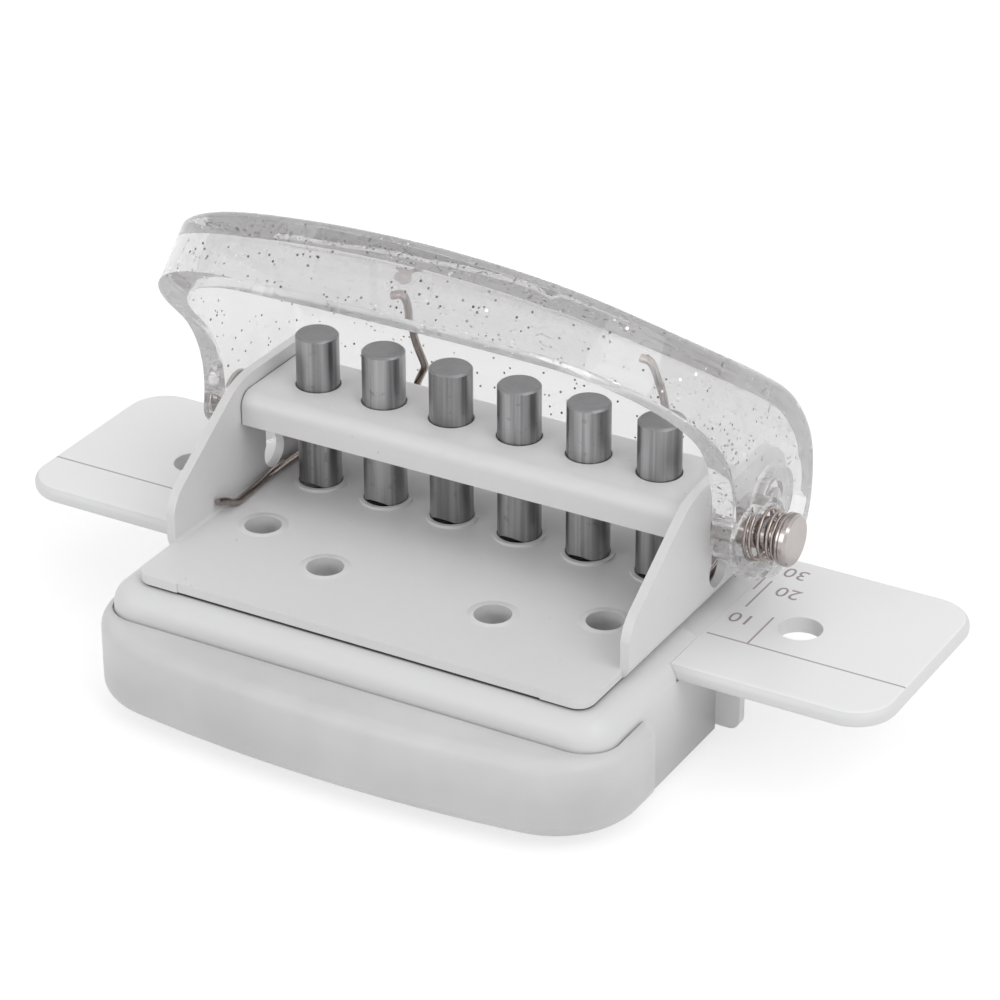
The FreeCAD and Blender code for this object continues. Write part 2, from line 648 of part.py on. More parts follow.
def level_edges(body, z, rear):
    """Edges that lie at one height, without those on the straight rear side."""
    return [e for e in body.Edges
            if abs(e.BoundBox.ZMin - z) < 0.01 and abs(e.BoundBox.ZMax - z) < 0.01
            and e.BoundBox.YMin < rear - 0.1]


def bowed_plan(half, front, bow, corner, rear, z0, z1):
    """Upright prism with a gently bowed front between two rounded corners."""
    left = V(-half, front + bow, z0)
    right = V(half, front + bow, z0)
    rim = [arc(left, V(0, front, z0), right), line(right, V(half, rear, z0)),
           line(V(half, rear, z0), V(-half, rear, z0)), line(V(-half, rear, z0), left)]
    body = Part.Face(Part.Wire(rim)).extrude(V(0, 0, z1 - z0))
    corners = [e for e in body.Edges
               if all(abs(v.Point.y - front - bow) < 0.01 for v in e.Vertexes)
               and e.BoundBox.ZLength > 0.5 * (z1 - z0)]
    return body.makeFillet(corner, corners)


def tray_front():
    """Bowl that wraps the front of the base: rounded ledge before the base, open under it."""
    top = TRAY_TOP
    back = TRAY_END - 1.4
    bowl = bowed_plan(TRAY_HALF, TRAY_FRONT, TRAY_BOW, TRAY_CORNER, TRAY_END, TRAY_BOTTOM, top)
    bowl = bowl.makeFillet(TRAY_EDGE_R, level_edges(bowl, TRAY_BOTTOM, TRAY_END))
    bowl = bowl.makeFillet(TRAY_LEDGE_R, level_edges(bowl, top, TRAY_END))
    seat = rounded_plan(BASE_HALF + 0.25, BASE_FRONT - 0.25, 0, BASE_CORNER + 0.25, 0, SKIRT_Z - 0.3, 20)
    hollow = bowed_plan(TRAY_HALF - TRAY_WALL, TRAY_FRONT + TRAY_WALL, TRAY_BOW, TRAY_CORNER - TRAY_WALL,
                        back, TRAY_BOTTOM + TRAY_FLOOR, top - TRAY_LEDGE_R)
    mouth = rounded_plan(BASE_HALF - 2.4, BASE_FRONT + 2.4, back, BASE_CORNER - 2.4, 0, 6, 20)
    door = box(-BOWL_DOOR, BOWL_DOOR, back - 1, TRAY_END + 0.1, TRAY_BOTTOM + TRAY_FLOOR, 20)
    return bowl.cut([seat, hollow, mouth]), door


def chip_tray():
    """Bowl in front and a long bin that reaches back under the dies for the chips."""
    bowl, door = tray_front()
    bin_outer = box(-BIN_HALF, BIN_HALF, TRAY_END - 1.4, BIN_REAR, BIN_BOTTOM, BIN_TOP)
    bin_inner = box(-BIN_HALF + BIN_WALL, BIN_HALF - BIN_WALL, TRAY_END - 3, BIN_REAR - BIN_WALL,
                    TRAY_BOTTOM + TRAY_FLOOR, 20)
    return bowl.fuse(bin_outer).cut([bin_inner, door]).removeSplitter()


def rubber_feet():
    feet = []
    for side in (-1, 1):
        for x, y in ((30.0, -18.0), (25.5, 11.9)):
            foot = cylinder(2.0, side * x, y, 0, BASE_BOTTOM)
            rim = [e for e in foot.Edges if e.BoundBox.ZMax < 0.01]
            feet.append(foot.makeFillet(0.3, rim))
    return Part.makeCompound(feet)


def build():
    nodes = {
        "metal_frame": metal_frame(),
        "bridge_guide": bridge_guide(),
        "die_plate": die_plate(),
        "throat_spacer": throat_spacer(),
        "frame_rivets": frame_rivets(),
        "base_body": base_body(),
        "base_screws": base_screws(),
        "rubber_feet": rubber_feet(),
        "ruler_left": ruler(-1),
        "ruler_right": ruler(1),
        "chip_tray": chip_tray(),
        "hinge_rod": hinge_rod(),
        "torsion_spring_left": torsion_spring(-14.5, 8, -13.9, -16.0),
        "torsion_spring_right": mirror_x(torsion_spring(-19.9, 7, -19.9, -18.4)),
        "handle": handle(),
        "press_shaft": press_shaft(),
        "shaft_spring": shaft_spring(),
        "shaft_clip": shaft_clip(),
    }
    for i, x in enumerate(pin_places()):
        nodes["punch_pin_%d" % (i + 1)] = punch_pin(x)
    return nodes


os.makedirs("parts", exist_ok=True)
for name, shape in build().items():
    shape.exportStep("parts/%s.step" % name)
    print(name, len(shape.Solids), "solid(s)", round(shape.Volume, 1), "mm3", shape.isValid())
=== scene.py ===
# %% [markdown]
# # A six-hole punch with a clear hood
# This lesson dresses a finished technical model of a paper punch: six steel
# pins in a white steel frame, a clear moulded handle with glitter in it, a
# frosted tray and two white rulers. The shapes and sizes are fixed already, so
# the work is finish, wire, print and light.
#
# The first cell loads the model. Blender's lengths are metres. A size that is
# easier to read in millimetres is written so, and is multiplied by MM.

# %% Load the model
import math
import bpy
import numpy as np
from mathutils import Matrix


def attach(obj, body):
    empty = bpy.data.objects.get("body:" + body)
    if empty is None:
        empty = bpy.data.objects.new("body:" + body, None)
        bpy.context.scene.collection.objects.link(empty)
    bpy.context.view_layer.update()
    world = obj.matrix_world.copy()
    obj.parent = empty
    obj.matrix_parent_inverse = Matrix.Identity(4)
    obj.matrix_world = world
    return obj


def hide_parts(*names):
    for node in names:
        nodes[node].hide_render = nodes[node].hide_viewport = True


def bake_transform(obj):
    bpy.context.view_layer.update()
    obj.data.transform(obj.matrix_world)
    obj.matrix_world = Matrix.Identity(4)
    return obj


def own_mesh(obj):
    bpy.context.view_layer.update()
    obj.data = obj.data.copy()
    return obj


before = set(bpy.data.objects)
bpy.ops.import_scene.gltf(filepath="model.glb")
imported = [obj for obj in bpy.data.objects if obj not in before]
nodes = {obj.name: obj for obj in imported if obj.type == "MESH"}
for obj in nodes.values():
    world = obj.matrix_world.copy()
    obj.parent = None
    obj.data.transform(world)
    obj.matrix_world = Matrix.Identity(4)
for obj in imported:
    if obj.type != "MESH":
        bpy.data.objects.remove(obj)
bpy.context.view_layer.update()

MM = 0.001
print("pieces in the model:", len(nodes))

# %% [markdown]
# ## The camera
# The punch was photographed from the front right and from above, with a long
# lens. A camera is placed by where it stands: an azimuth round the object, an
# elevation, and the point that it stands on. Its three axes are written down
# as a rotation matrix, because that leaves no doubt about the roll. The lamps
# at the end of the lesson are placed by the same helper.

# %% Camera
def into_scene(name, data):
    """A new object in the scene that holds this mesh, lamp or camera."""
    thing = bpy.data.objects.new(name, data)
    bpy.context.scene.collection.objects.link(thing)
    return thing


def stand_at(thing, right, upward, back, place):
    """Turns and places an object: its X, Y and Z axes and its place are the columns."""
    matrix = np.eye(4)
    matrix[:3] = np.stack([right, upward, back, place], 1)
    thing.matrix_world = matrix.T.tolist()


azimuth = math.radians(29.75)
elevation = math.radians(28.15)
roll = math.radians(0.15)
stand = np.array([208.79, -360.05, 244.66]) * MM
back = np.array([math.sin(azimuth) * math.cos(elevation),
                 -math.cos(azimuth) * math.cos(elevation), math.sin(elevation)])
level = np.array([math.cos(azimuth), math.sin(azimuth), 0.0])
upward = np.cross(back, level)
camera = into_scene("camera", bpy.data.cameras.new("camera"))
stand_at(camera, level * math.cos(roll) - upward * math.sin(roll),
         upward * math.cos(roll) + level * math.sin(roll), back, stand)
camera.data.sensor_width = 36
camera.data.lens = 139.48
camera.data.shift_x = -0.0069
camera.data.shift_y = -0.0092
camera.data.clip_start = 0.02
bpy.context.scene.camera = camera
print("camera stands", round(float(np.linalg.norm(stand)), 3), "m from the origin")

# %% [markdown]
# ## Shader maths as expressions
# Node trees are easier to read as sums. This small class wraps one socket, and
# Python's operators add the Math nodes. `node` makes any other node, and `feed`
# fills one input, with a link or with a value.

# %% A socket that can be added and multiplied
def feed(node, name, value):
    """Puts a Socket, a number, a vector or a colour into one input of a node."""
    target = node.inputs[name]
    if isinstance(value, Socket):
        value.tree.links.new(value.socket, target)
    elif target.type == "RGBA":
        target.default_value = (*value, 1)
    else:
        target.default_value = value


class Socket:
    """One output socket in a material's node tree."""

    def __init__(self, tree, socket=None):
        self.tree = tree
        self.socket = socket

    def node(self, kind, output=0, settings=None, **inputs):
        """Adds a node, sets its settings, then feeds its inputs by name or as i and a number."""
        new = self.tree.nodes.new(kind)
        for key, value in (settings or {}).items():
            setattr(new, key, value)
        for key, value in inputs.items():
            numbered = key[0] == "i" and key[1:].isdigit()
            feed(new, int(key[1:]) if numbered else key.replace("_", " "), value)
        return Socket(self.tree, new.outputs[output])

    def maths(self, operation, other=0.0, swap=False):
        """A Math node on this and another Socket or number; swap puts the other one first."""
        first, second = (other, self) if swap else (self, other)
        return self.node("ShaderNodeMath", 0, {"operation": operation}, i0=first, i1=second)

    def __add__(self, other):
        return self.maths("ADD", other)

    def __radd__(self, other):
        return self.maths("ADD", other)

    def __sub__(self, other):
        return self.maths("SUBTRACT", other)

    def __rsub__(self, other):
        return self.maths("SUBTRACT", other, swap=True)

    def __mul__(self, other):
        return self.maths("MULTIPLY", other)

    def __rmul__(self, other):
        return self.maths("MULTIPLY", other)

    def __gt__(self, other):
        return self.maths("GREATER_THAN", other)

    def step(self, low, high):
        """0 below low, 1 above high, and smooth between them."""
        return self.node("ShaderNodeMapRange", 0, {"interpolation_type": "SMOOTHSTEP"},
                         Value=self, From_Min=low, From_Max=high)

    def tint(self, low, high):
        """The colour low where this is 0 and high where it is 1; either may be a Socket."""
        return self.node("ShaderNodeMix", 2, {"data_type": "RGBA"}, i0=self, i6=low, i7=high)

    def part(self, axis):
        """The X, Y or Z of a vector."""
        return self.node("ShaderNodeSeparateXYZ", axis, Vector=self)


print("a Socket adds, takes away, multiplies and compares")

# %% [markdown]
# Each finish starts the same way: a material with its shader, and a Socket with
# the coordinates of the piece itself, so that a pattern moves with the piece.
# Noise is what breaks up a colour, a gloss or a surface.

# %% Helpers that every finish uses
def finish(name):
    """A new material: itself, its shader, and a Socket with the object's coordinates."""
    material = bpy.data.materials.new(name)
    material.use_nodes = True
    tree = material.node_tree
    place = Socket(tree).node("ShaderNodeTexCoord", "Object")
    return material, tree.nodes["Principled BSDF"], place


def noise(place, scale, detail=2.0, stretch=(1, 1, 1)):
    """Noise from 0 to 1 with about `scale` blobs to a metre, stretched along the axes."""
    spread = place.node("ShaderNodeMapping", Vector=place, Scale=stretch)
    return place.node("ShaderNodeTexNoise", Vector=spread, Scale=scale, Detail=detail)


def bump(height, depth, strength=1.0):
    """A normal from a height Socket; depth is in metres."""
    return height.node("ShaderNodeBump", Height=height, Distance=depth, Strength=strength)


def between(value, low, high):
    """1 where value is between low and high, which are in millimetres, else 0."""
    return (value > low * MM) * (high * MM - value > 0.0)


def dress(material, *names):
    """Gives CAD pieces this material."""
    for name in names:
        data = nodes[name].data
        data.materials.clear()
        data.materials.append(material)


print("shader helpers ready")

# %% [markdown]
# ## White enamel
# The frame and the bridge are folded sheet with a sprayed white enamel. Sprayed
# enamel dries with a faint ripple, and handling leaves a few grey pinpricks in
# it. The ripple is a very small bump, and the pinpricks are the highest peaks
# of a fine noise, so both keep their real size at any distance. The sheet is
# also pulled down a little round each rivet, which catches the light as a soft
# rim: that is a bump whose height depends on the distance from the hole.
#
# Where the bridge's ends meet the cheeks there is a hairline gap, from
# BRIDGE_END to CHEEK on both sides of the middle. It is too narrow for light to
# reach its bottom, so its edge is drawn dark.

# %% Enamel on the folded sheet
PLATE_TOP = 17.2
RIVETS = [(side * x, y) for side in (-1, 1) for x, y in ((23.8, -13.3), (11.6, -18.45))]
BRIDGE_END, CHEEK = 30.40, 30.585


def pinpricks(place, scale, level):
    """1 on the rare peaks of a fine noise, 0 elsewhere; a higher level leaves fewer."""
    return noise(place, scale, 0).step(level, level + 0.02)


def away_from(place, x, y, z):
    """How far a point is from x, y, z, which are in millimetres."""
    return place.node("ShaderNodeVectorMath", 1, {"operation": "DISTANCE"},
                      i0=place, i1=(x * MM, y * MM, z * MM))


enamel, shader, place = finish("white_enamel")
patches = noise(place, 60) * 0.6 + noise(place, 900) * 0.4
white = patches.tint((0.655, 0.65, 0.655), (0.70, 0.695, 0.70))
white = pinpricks(place, 1900, 0.87).tint(white, (0.50, 0.49, 0.49))
across = place.part("X").maths("ABSOLUTE")
seam = between(across, BRIDGE_END, CHEEK) * (place.part("Z") > 20 * MM)
feed(shader, "Base Color", (seam * 0.8).tint(white, (0.10, 0.10, 0.10)))
feed(shader, "Roughness", noise(place, 250) * 0.12 + 0.36)
rims = sum(1 - away_from(place, x, y, PLATE_TOP).step(2.3 * MM, 3.3 * MM) for x, y in RIVETS)
feed(shader, "Normal", bump(noise(place, 900, 3) * 0.01 + rims * 0.2, MM))
dress(enamel, "metal_frame", "bridge_guide", "frame_rivets")
print("enamel on the frame, the bridge and", len(RIVETS), "rivets")

# %% [markdown]
# ## White moulded plastic
# The base is moulded in white plastic, with the fine even grain that a
# spark-eroded mould leaves. The grain is a bump of noise at about four blobs
# to a millimetre. The colour goes with the height: the skirt is painted
# darker towards the desk, which is painted shade, and the narrow table that
# the paper slides over is painted lighter, which is painted light on a place
# that the ruler and the cheek shade.
#
# Painted shade darkens the base where the plate overhangs its top, so the gap
# under the plate's edge reads dark. That stretch is a rounded rectangle under
# the plate, so its colour follows the distance to one: outside its corner
# points, the length of the two overshoots less the corner's radius.

# %% Moulded white
TABLE = 14.8


def under_plate(place, half, front, corner):
    """1 well inside the plate's outline, 0 at its edge and outside; sizes in millimetres."""
    over_x = (place.part("X").maths("ABSOLUTE") - (half - corner) * MM).maths("MAXIMUM", 0.0)
    over_y = ((front + corner) * MM - place.part("Y")).maths("MAXIMUM", 0.0)
    away = (over_x * over_x + over_y * over_y).maths("SQRT")
    inside = 1 - (away - corner * MM).step(-0.35 * MM, 0.0)
    return inside * (place.part("Z") > 15.5 * MM)


moulded, shader, place = finish("white_plastic")
height = place.part("Z")
plain = noise(place, 40).tint((0.655, 0.655, 0.66), (0.685, 0.685, 0.685))
# Painted shade: the skirt's colour gets darker towards the desk.
skirt = 1 - height.step(2 * MM, 13 * MM)
plain = (skirt * 0.7).tint(plain, (0.46, 0.455, 0.46))
# Painted light: the table behind the step is lighter, where the ruler and the cheek shade it.
table = between(height, TABLE - 0.1, TABLE + 0.1) * (place.part("Y") > -7.9 * MM)
plain = table.tint(plain, (0.80, 0.80, 0.80))
# Painted shade: the base under the plate's overhang is nearly black.
painted_shade_under_plate = under_plate(place, half=30.8, front=-30.7, corner=2.2)
feed(shader, "Base Color", (painted_shade_under_plate * 0.85).tint(plain, (0.06, 0.06, 0.06)))
feed(shader, "Roughness", noise(place, 300) * 0.1 + 0.38)
feed(shader, "Normal", bump(noise(place, 4000, 1), 0.02 * MM, 0.25))
dress(moulded, "base_body")
print("moulded white on the base, with the gap under the plate darkened")

# %% [markdown]
# ## Rulers and their printed lines
# The rulers are a brighter white, with painted shade that makes their sides
# greyer, and thin brown-grey lines are printed on them where a sheet's edge is
# lined up. A printed line has no height, so it belongs in the material: each is
# a rectangle in the object's own coordinates, worked out as the product of two
# soft steps. Its edge is softened by a few hundredths of a millimetre, as ink
# spreads.

# %% Print on the rulers
LINE = 0.26
INK = (0.30, 0.25, 0.25)


def along_x(x0, x1, y):
    """The rectangle of a printed line at y from x0 to x1, in millimetres."""
    return x0, x1, y - LINE / 2, y + LINE / 2


def along_y(x, y0, y1):
    """The rectangle of a printed line at x from y0 to y1, in millimetres."""
    return x - LINE / 2, x + LINE / 2, y0, y1


def stripe(value, low, high):
    """1 from low to high, which are in millimetres, and 0 outside, with a soft edge."""
    away = (value - 0.5 * (low + high) * MM).maths("ABSOLUTE")
    half = 0.5 * (high - low)
    return 1 - away.step((half - 0.03) * MM, (half + 0.03) * MM)


def ruler_white(name, *lines):
    """Ruler plastic with printed lines, each given by its rectangle."""
    material, shader, place = finish(name)
    height = place.part("Z")
    top = height > (TABLE - 0.1) * MM
    ink = sum(stripe(place.part("X"), x0, x1) * stripe(place.part("Y"), y0, y1)
              for x0, x1, y0, y1 in lines) * top
    # Painted shade: the sides below the ruler's top are greyer.
    edge = between(height, 12.6, TABLE - 0.1)
    plain = noise(place, 40).tint((0.80, 0.80, 0.805), (0.83, 0.83, 0.83))
    plain = edge.tint(plain, (0.70, 0.70, 0.705))
    feed(shader, "Base Color", (ink.maths("MINIMUM", 1.0) * 0.85).tint(plain, INK))
    feed(shader, "Roughness", noise(place, 300) * 0.1 + 0.34)
    feed(shader, "Normal", bump(noise(place, 2500, 2), 0.02 * MM, 0.15))
    return material


dress(ruler_white("ruler_print_right", along_x(33.6, 59.2, -6.2), along_y(38.9, -6.2, 0.8),
                  along_y(34.85, 1.5, 8.6), along_y(33.75, 5.7, 9.6)), "ruler_right")
dress(ruler_white("ruler_print_left", along_x(-59.2, -33.6, -7.25)), "ruler_left")
print("lines printed at", LINE, "mm")

# %% [markdown]
# ## Frosted tray
# The tray is a thin milky plastic. Light that enters it is scattered about
# inside and comes out near by, which is what subsurface scattering works out,
# and the surface itself is blurred by a fine etch. Low down, where the tray's
# floor meets the front wall, a soft darker band of painted shade stands for
# the floor seen through the frost, so the colour follows the height, and a
# cloudy noise breaks it up. Sliding in and out leaves faint lines along the
# front, which is noise drawn out along X.

# %% Frosted plastic
BAND = 5.0
frosted, shader, place = finish("frosted_plastic")
cloud = noise(place, 55, 3).step(0.30, 0.70)
rubbed = noise(place, 420, 3, (0.06, 1, 1))
# Painted shade: a darker band BAND mm above the table, for the floor seen through the frost.
from_band = (place.part("Z") - BAND * MM).maths("ABSOLUTE").step(0.5 * MM, 5.0 * MM)
frost = cloud * 0.5 + rubbed * 0.2 + from_band * 0.3
feed(shader, "Base Color", frost.tint((0.50, 0.498, 0.50), (0.64, 0.638, 0.64)))
feed(shader, "Roughness", noise(place, 180) * 0.1 + 0.36)
feed(shader, "Subsurface Weight", 0.3)
feed(shader, "Subsurface Radius", (2 * MM, 2 * MM, 2 * MM))
feed(shader, "Subsurface Scale", 1.0)
feed(shader, "Normal", bump(noise(place, 1500, 2), 0.03 * MM, 0.3))
dress(frosted, "chip_tray")
print("frosted tray, with a darker band", BAND, "mm above the table")

# %% [markdown]
# ## Ground steel
# The pins are ground to size and keep fine lines along their length, with a few
# darker streaks from oil. The noise is drawn out along the pin by scaling its
# coordinate there. A mirror-like metal would only show the white studio, so
# the colour is that of dull tool steel and the gloss is blurred. The end that
# stands up has no lines, and is told from the side by its height.

# %% Pins
PIN_END = 37.5
pin_steel, shader, place = finish("pin_steel")
fine = noise(place, 2600, 3, (1, 1, 0.02))
broad = noise(place, 650, 2, (1, 1, 0.04))
streaks = (fine * 0.35 + broad * 0.65).step(0.30, 0.70)
spots = noise(place, 900, 4).step(0.60, 0.75)
side = streaks.tint((0.185, 0.185, 0.188), (0.435, 0.435, 0.44))
side = (spots * 0.35).tint(side, (0.10, 0.10, 0.10))
end = noise(place, 700, 3).tint((0.25, 0.25, 0.255), (0.33, 0.33, 0.335))
feed(shader, "Base Color", (place.part("Z") > PIN_END * MM).tint(side, end))
feed(shader, "Metallic", 1.0)
feed(shader, "Roughness", fine * 0.25 + 0.27)
feed(shader, "Normal", bump(fine, 0.03 * MM, 0.5))
pins = ["punch_pin_%d" % number for number in range(1, 7)]
dress(pin_steel, *pins)
print("ground steel on", len(pins), "pins")

# %% [markdown]
# ## Die, shaft and feet
# The die plate under the frame is ground flat, so its lines run along X. The
# shaft, its head and the hinge rod are turned and then plated, which is brighter,
# warmer and smoother. The feet are matt grey rubber. Each differs from the pins
# only in its colour, its gloss and the direction of its lines.

# %% Other steels and rubber
plate_steel, shader, place = finish("die_steel")
lines = noise(place, 500, 4, (0.04, 1, 1))
feed(shader, "Base Color", lines.tint((0.30, 0.30, 0.31), (0.45, 0.45, 0.46)))
feed(shader, "Metallic", 1.0)
feed(shader, "Roughness", lines * 0.2 + 0.3)
dress(plate_steel, "die_plate", "throat_spacer", "base_screws")

bright, shader, place = finish("bright_plate")
feed(shader, "Base Color", noise(place, 400).tint((0.42, 0.385, 0.37), (0.50, 0.465, 0.45)))
feed(shader, "Metallic", 1.0)
feed(shader, "Roughness", noise(place, 600) * 0.12 + 0.12)
dress(bright, "press_shaft", "hinge_rod", "shaft_clip")

pad, shader, place = finish("foot_rubber")
feed(shader, "Base Color", noise(place, 800).tint((0.34, 0.34, 0.34), (0.42, 0.42, 0.42)))
feed(shader, "Roughness", 0.75)
dress(pad, "rubber_feet")
print("steels:", ", ".join(steel.name for steel in (pin_steel, plate_steel, bright)))

# %% [markdown]
# ## Surfaces from two parameters
# Every new piece below is an array of points worked out by numpy. The first
# helper turns points and faces into a piece. The second does so for a grid of
# points: `wrap` joins its last column to the first, and `caps` closes the two
# ends of the tube that this makes.

# %% Points to piece
def as_piece(name, points, faces, material, sharp=None):
    """A piece from points and faces: flat, or smooth up to the angle `sharp` in degrees."""
    data = bpy.data.meshes.new(name)
    data.from_pydata(points, [], faces)
    if sharp is not None:
        data.polygons.foreach_set("use_smooth", np.ones(len(faces), bool))
        data.set_sharp_from_angle(angle=math.radians(sharp))
    data.materials.append(material)
    return into_scene(name, data)


def grid_piece(name, points, material, wrap=False, caps=False):
    """A surface from an array of points with shape (rows, columns, 3)."""
    rows, columns = points.shape[:2]
    u = np.arange(rows - 1)[:, None]
    v = np.arange(columns if wrap else columns - 1)[None, :]
    a = u * columns + v
    b = u * columns + (v + 1) % columns
    faces = np.stack([a, b, b + columns, a + columns], -1).reshape(-1, 4).tolist()
    if caps:
        ring = np.arange(columns)
        faces += [ring[::-1].tolist(), (ring + (rows - 1) * columns).tolist()]
    return as_piece(name, points.reshape(-1, 3), faces, material, sharp=50)


print("mesh helpers ready")

# %% [markdown]
# ## Spring wire
# Springs are drawn wire: it is pulled through a die, which leaves it bright and a
# little uneven in tone. Wire is a ring carried along a line. The line is put
# together from helices and from legs, which are bent at a few corners and then
# rounded, and the ring stands square to it.

# %% Lines and wire
drawn_wire, shader, place = finish("spring_wire")
drawn = noise(place, 1300, 3)
feed(shader, "Base Color", drawn.tint((0.25, 0.21, 0.19), (0.50, 0.445, 0.42)))
feed(shader, "Metallic", 1.0)
feed(shader, "Roughness", drawn * 0.12 + 0.10)


def rounded(points, passes=3):
    """Corner cutting: each pass puts points at a quarter and three quarters of each run."""
    line = np.array(points, float)
    for _ in range(passes):
        a, b = line[:-1], line[1:]
        cut = np.stack([0.75 * a + 0.25 * b, 0.25 * a + 0.75 * b], 1).reshape(-1, 3)
        line = np.vstack([line[:1], cut, line[-1:]])
    return line


def helix(x0, x1, y, z, radius, turns, end_radius=None, start=0.0, closed=False):
    """A circle about a line along X whose middle moves from x0 to x1, evenly or, with
    closed ends, slowly at both ends and fast between them (3 t^2 - 2 t^3)."""
    t = np.linspace(0, 1, int(turns * 40))
    angle = start + 2 * math.pi * turns * t
    r = radius + ((end_radius or radius) - radius) * t
    x = x0 + (x1 - x0) * (t * t * (3 - 2 * t) if closed else t)
    return np.stack([x, y + r * np.cos(angle), z + r * np.sin(angle)], 1)


def wire(name, line, radius, sides=12):
    """A ring of the given radius carried along a line of points, both in millimetres."""
    apart = np.linalg.norm(np.diff(line, axis=0), axis=1) > 1e-4
    line = line[np.r_[True, apart]]
    along = np.gradient(line, axis=0)
    along /= np.linalg.norm(along, axis=1)[:, None]
    side = np.cross(along, [1.0, 0.0, 0.0])
    side /= np.linalg.norm(side, axis=1)[:, None]
    other = np.cross(along, side)
    angle = np.linspace(0, 2 * math.pi, sides, endpoint=False)
    ring = side[:, None] * np.cos(angle)[:, None] + other[:, None] * np.sin(angle)[:, None]
    points = (line[:, None] + radius * ring) * MM
    return grid_piece(name, points, drawn_wire, wrap=True, caps=True)


print("a helix of 10 turns has", len(helix(0, 1, 0, 0, 1, 10)), "points")

# %% [markdown]
# ## Torsion springs
# A torsion spring on each side of the hinge lifts the handle. Its coil sits on
# the hinge rod, one leg lies on the plate and the other leans on the hood's
# roof with a bent tip. The legs on the plate mirror each other, and the upper
# ones don't. Each wire is one piece, set in place once.

# %% Torsion springs
WIRE = 0.49
FLOOR_Z = PLATE_TOP + WIRE + 0.005
HINGE_Y, HINGE_Z = 7.5, 26.5
plate_leg = rounded([
    (29.95, -13.9, 19.0), (29.7, -12.7, 18.7), (29.2, -11.0, FLOOR_Z), (29.35, -9, FLOOR_Z),
    (29.6, -5, FLOOR_Z), (29.75, 0.5, FLOOR_Z), (29.6, 5, FLOOR_Z), (28.0, 9.6, 18.0),
    (27.3, 9.75, 22.5), (27.2, 9.75, 26.4)])
left_line = np.vstack([
    plate_leg * [-1, 1, 1],
    helix(-27.2, -15.6, HINGE_Y, HINGE_Z, 2.25, 10),
    rounded([(-15.58, 9.75, 26.6), (-15.4, 9.45, 28.4), (-14.1, 8.95, 30.9),
             (-13.65, 8.8, 31.6), (-13.75, 8.7, 32.3), (-14.4, 8.2, 34.6), (-14.6, 7.6, 36.6),
             (-14.3, 7.0, 38.7), (-14.2, 6.4, 40.3), (-14.6, 5.95, 41.6), (-16.1, 5.9, 41.1)],
            passes=4)])
right_line = np.vstack([
    plate_leg,
    helix(27.2, 20.6, HINGE_Y, HINGE_Z, 2.25, 6),
    rounded([(20.6, 9.75, 26.6), (20.6, 9.4, 28.6), (20.2, 8.8, 31.6), (19.8, 7.9, 35.2),
             (19.6, 7.1, 37.2), (19.2, 6.4, 39.0), (18.6, 5.95, 40.8), (17.2, 5.95, 40.9)],
            passes=4)])
for name, line, node in (("left_torsion_wire", left_line, "torsion_spring_left"),
                         ("right_torsion_wire", right_line, "torsion_spring_right")):
    spring = wire(name, line, WIRE)
    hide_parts(node)
    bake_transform(spring)
    length = np.linalg.norm(np.diff(line, axis=0), axis=1).sum()
    print(name, "is", round(float(length)), "mm of wire")

# %% [markdown]
# ## Shaft spring
# The small spring behind the push head narrows towards the head, and its end
# turns lie close together so that it stands square. Pushing the head shortens
# the real spring; this piece keeps its length and rides with the pin row.

# %% Shaft spring
THIN_WIRE = 0.21
push_line = helix(36.7, 39.9, 0, 26.3, 3.6, 4.5, end_radius=2.65, start=1.2, closed=True)
push_spring = wire("head_spring", push_line, THIN_WIRE, sides=10)
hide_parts("shaft_spring")
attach(push_spring, "pin_row")
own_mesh(push_spring)
print("head spring:", len(push_line), "points, wire", 2 * THIN_WIRE, "mm")

# %% [markdown]
# ## Clear plastic
# The handle is one thick moulding in clear plastic. Light bends in it, so this
# is real refraction. A shadow ray can't be bent, so it passes straight through
# a transparent shader instead: without that the hood would cast a black shadow.
# In the rims light is thrown to and fro between the walls many times. Such a
# path would be cut off and give black grains, so it ends in an even grey glow,
# which is painted light in place of the light such a path would bring. The
# plastic is also a little grey in itself, which its volume's absorption gives.

# %% Clear plastic
GLOSSY_LIMIT, RAY_LIMIT = 2.5, 9.5
clear, shader, place = finish("clear_plastic")
feed(shader, "Base Color", (0.855, 0.85, 0.855))
feed(shader, "Roughness", noise(place, 120) * 0.03 + 0.01)
feed(shader, "IOR", 1.42)
feed(shader, "Transmission Weight", 0.94)
feed(shader, "Alpha", 0.93)
feed(shader, "Normal", bump(noise(place, 70, 2), 0.12 * MM, 0.12))
shadow, bounces, steps = (place.node("ShaderNodeLightPath", name)
                          for name in ("Is Shadow Ray", "Glossy Depth", "Ray Depth"))
long_path = (bounces > GLOSSY_LIMIT).maths("MAXIMUM", steps > RAY_LIMIT)
# Painted light: a long path ends in this grey glow.
even = place.node("ShaderNodeEmission", Color=(0.46, 0.455, 0.455), Strength=1.0)
through = place.node("ShaderNodeBsdfTransparent", Color=(0.96, 0.96, 0.96))
glass = Socket(place.tree, shader.outputs["BSDF"])
glass = place.node("ShaderNodeMixShader", i0=long_path, i1=glass, i2=even)
glass = place.node("ShaderNodeMixShader", i0=shadow, i1=glass, i2=through)
haze = place.node("ShaderNodeVolumeAbsorption", Color=(0.50, 0.49, 0.49), Density=10.0)
output = place.tree.nodes["Material Output"]
feed(output, "Surface", glass)
feed(output, "Volume", haze)
print("clear plastic:", len(place.tree.nodes), "nodes")

# %% [markdown]
# ## The hood's surface
# The hood's shape is the technical model's own. That is a mesh of loose
# triangles, and flat facets would each bend the light their own way, so a copy
# gets its triangles joined at their shared corners and is smooth-shaded. A
# triangle so thin that two of its corners fall together is dropped.

